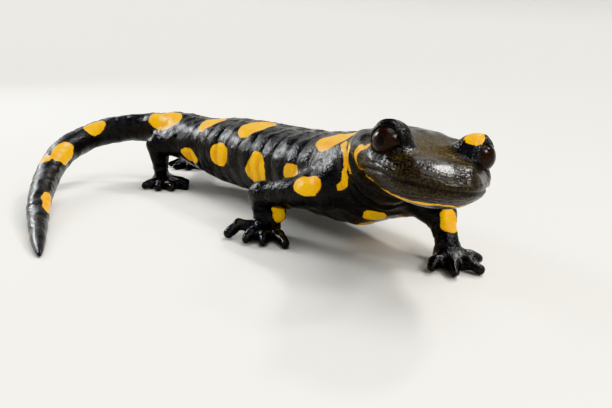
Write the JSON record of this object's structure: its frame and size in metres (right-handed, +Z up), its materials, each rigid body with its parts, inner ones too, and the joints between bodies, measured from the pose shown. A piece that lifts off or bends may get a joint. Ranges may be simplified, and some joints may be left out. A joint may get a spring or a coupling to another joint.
{
  "type": "fire salamander model",
  "caption": "Still, life-size fire salamander in a walking stance: head raised and turned, body bent, tail curled round to rest on the floor, black skin with yellow spots.",
  "frame": {"origin": "centre of the bounding box, on the floor that the feet and the tail's end stand on", "axes": "+X runs along the trunk from the hips to the head, +Y is the animal's left side, +Z is up"},
  "size_m": [0.1147, 0.0673, 0.0266],
  "materials": {
    "skin": "wet, glossy, finely granular black skin with yellow spots",
    "eye": "very glossy near-black brown eyeball"
  },
  "bodies": {
    "root": {"head": "skin", "lower_jaw": "skin", "neck": "skin", "trunk_front": "skin", "trunk_middle": "skin", "trunk_rear": "skin", "pelvis": "skin", "tail_root": "skin", "tail_upper": "skin", "tail_bend": "skin", "tail_middle": "skin", "tail_lower": "skin", "tail_tip": "skin", "gland_right": "skin", "gland_left": "skin", "eyelid_right": "skin", "eyelid_left": "skin", "upper_arm_right": "skin", "forearm_right": "skin", "hand_right": "skin", "upper_arm_left": "skin", "forearm_left": "skin", "hand_left": "skin", "thigh_right": "skin", "shank_right": "skin", "foot_right": "skin", "thigh_left": "skin", "shank_left": "skin", "foot_left": "skin", "eye_right": "eye", "eye_left": "eye"}
  },
  "joints": []
}
